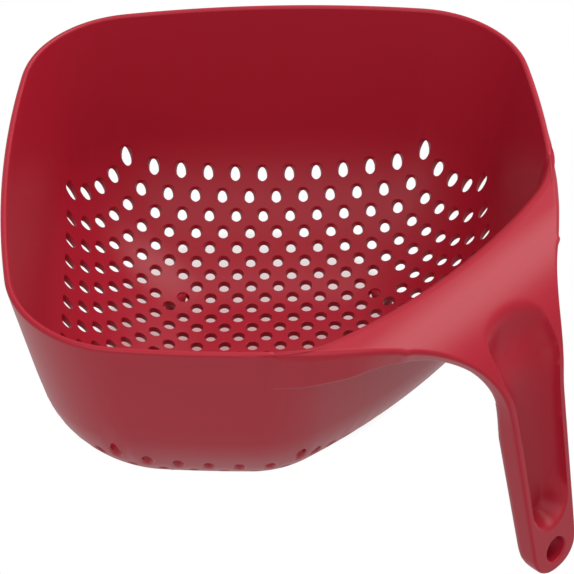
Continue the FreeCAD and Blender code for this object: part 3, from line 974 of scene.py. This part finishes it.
# Stage, in metres: a grey floor that camera and reflections see as white, with a painted shadow under
# the bowl, and soft light from above.


stageSizes = {
    "floor": 3.0,
    "floorColour": (0.4, 0.4, 0.4, 1.0),
    "white": (1.0, 1.0, 1.0, 1.0),
    # Painted shadow colour of the floor under the bowl, pinkish like bounced light, seen through the
    # drain holes.
    "shade": (0.50, 0.25, 0.255, 1.0),
    "shadeTowards": (-0.7071, 0.7071, 0.0),
    "shadeFront": 0.03,
    "shadeBack": 0.14,
    "shadeCentre": (-0.031 + axisShift, 0.014, 0.0),
    "shadeInner": 0.062,
    "shadeOuter": 0.080,
    "skyStrength": 0.55,
    "lampAim": (0.0, 0.0, 0.06),
    "key": {"place": (0.08, 0.82, 1.35), "size": 1.0, "power": 17.5},
    "fill": {"place": (0.57, -0.99, 1.1), "size": 1.6, "power": 12.0},
}


def addNode(nodes, kind, operation=None):
    node = nodes.new(kind)
    if operation:
        node.operation = operation
    return node


def floorMaterial():
    # The painted shadow, pinkish as if lit by light bounced off the bowl, fades out with the distance
    # from a point under the bowl, and towards the back.
    material = bpy.data.materials.new("paleFloor")
    material.use_nodes = True
    nodes = material.node_tree.nodes
    links = material.node_tree.links
    nodes.clear()
    output = addNode(nodes, "ShaderNodeOutputMaterial")
    mix = addNode(nodes, "ShaderNodeMixShader")
    path = addNode(nodes, "ShaderNodeLightPath")
    matt = addNode(nodes, "ShaderNodeBsdfDiffuse")
    matt.inputs["Color"].default_value = stageSizes["floorColour"]
    seen = addNode(nodes, "ShaderNodeEmission")
    # Painted shadow: the shade colour, mixed towards white by distance from under the bowl and towards
    # the back.
    paintedShadow = addNode(nodes, "ShaderNodeMix")
    paintedShadow.data_type = "RGBA"
    paintedShadow.inputs["A"].default_value = stageSizes["shade"]
    paintedShadow.inputs["B"].default_value = stageSizes["white"]
    place = addNode(nodes, "ShaderNodeTexCoord")
    distance = addNode(nodes, "ShaderNodeVectorMath", "DISTANCE")
    distance.inputs[1].default_value = stageSizes["shadeCentre"]
    fade = addNode(nodes, "ShaderNodeMapRange")
    fade.interpolation_type = "SMOOTHSTEP"
    fade.inputs["From Min"].default_value = stageSizes["shadeInner"]
    fade.inputs["From Max"].default_value = stageSizes["shadeOuter"]
    away = addNode(nodes, "ShaderNodeVectorMath", "DOT_PRODUCT")
    away.inputs[1].default_value = stageSizes["shadeTowards"]
    lighter = addNode(nodes, "ShaderNodeMapRange")
    lighter.inputs["From Min"].default_value = stageSizes["shadeFront"]
    lighter.inputs["From Max"].default_value = stageSizes["shadeBack"]
    most = addNode(nodes, "ShaderNodeMath", "MAXIMUM")
    direct = addNode(nodes, "ShaderNodeMath", "MAXIMUM")
    anyRay = addNode(nodes, "ShaderNodeMath", "MAXIMUM")
    links.new(place.outputs["Object"], distance.inputs[0])
    links.new(place.outputs["Object"], away.inputs[0])
    links.new(distance.outputs["Value"], fade.inputs["Value"])
    links.new(away.outputs["Value"], lighter.inputs["Value"])
    links.new(fade.outputs["Result"], most.inputs[0])
    links.new(lighter.outputs["Result"], most.inputs[1])
    links.new(most.outputs["Value"], paintedShadow.inputs["Factor"])
    links.new(paintedShadow.outputs["Result"], seen.inputs["Color"])
    links.new(path.outputs["Is Camera Ray"], direct.inputs[0])
    links.new(path.outputs["Is Glossy Ray"], direct.inputs[1])
    links.new(direct.outputs["Value"], anyRay.inputs[0])
    links.new(path.outputs["Is Transmission Ray"], anyRay.inputs[1])
    links.new(anyRay.outputs["Value"], mix.inputs["Fac"])
    links.new(matt.outputs["BSDF"], mix.inputs[1])
    links.new(seen.outputs["Emission"], mix.inputs[2])
    links.new(mix.outputs["Shader"], output.inputs["Surface"])
    return material


def makeFloor():
    half = stageSizes["floor"]
    corners = [(-half, -half, 0), (half, -half, 0), (half, half, 0), (-half, half, 0)]
    mesh = bpy.data.meshes.new("floor")
    mesh.from_pydata(corners, [], [(0, 1, 2, 3)])
    floor = bpy.data.objects.new("floor", mesh)
    bpy.context.scene.collection.objects.link(floor)
    floor.data.materials.append(floorMaterial())


def makeLamp(name):
    lamp = stageSizes[name]
    light = bpy.data.lights.new(name, "AREA")
    light.shape = "SQUARE"
    light.size = lamp["size"]
    light.energy = lamp["power"]
    piece = bpy.data.objects.new(name, light)
    bpy.context.scene.collection.objects.link(piece)
    piece.location = lamp["place"]
    towards = Vector(lamp["place"]) - Vector(stageSizes["lampAim"])
    piece.rotation_euler = towards.to_track_quat("Z", "Y").to_euler()


def makeWorld():
    world = bpy.data.worlds.new("studio")
    bpy.context.scene.world = world
    world.use_nodes = True
    background = world.node_tree.nodes["Background"]
    background.inputs["Color"].default_value = stageSizes["white"]
    background.inputs["Strength"].default_value = stageSizes["skyStrength"]


makeFloor()
makeWorld()
makeLamp("key")
makeLamp("fill")
print("stage: floor, sky, key and fill")


# Camera: from above with a long lens, facing one side of the bowl, with the handle on the right.


view = {
    "distance": 1165.7,
    "elevation": 43.561,
    "azimuth": -45.798,
    "pivotHeight": 12.4,
    "aim": (2.187, 2.187, 60.6),
    "roll": -0.535,
    "lens": 161.1,
    "sensor": 36.0,
}


def makeCamera():
    # Stands on a sphere round the bowl's axis, looks at the aim, and is rolled a little.
    turn = math.radians(view["azimuth"])
    rise = math.radians(view["elevation"])
    away = np.array([math.cos(rise) * math.cos(turn), math.cos(rise) * math.sin(turn), math.sin(rise)])
    place = away * view["distance"] + np.array([0, 0, view["pivotHeight"]])
    back = unit(place - np.array(view["aim"]))
    right = unit(np.cross([0, 0, 1], back))
    up = np.cross(back, right)
    roll = math.radians(view["roll"])
    tiltedRight = math.cos(roll) * right + math.sin(roll) * up
    tiltedUp = math.cos(roll) * up - math.sin(roll) * right
    camera = bpy.data.objects.new("camera", bpy.data.cameras.new("camera"))
    bpy.context.scene.collection.objects.link(camera)
    camera.data.lens = view["lens"]
    camera.data.sensor_width = view["sensor"]
    world = np.eye(4)
    world[:3, 0] = tiltedRight
    world[:3, 1] = tiltedUp
    world[:3, 2] = back
    world[:3, 3] = place * mm + np.array([axisShift, 0, 0])
    camera.matrix_world = Matrix(world.tolist())
    bpy.context.scene.camera = camera
    print("camera: lens", view["lens"], "mm")


makeCamera()
bpy.context.scene.view_settings.view_transform = "Standard"
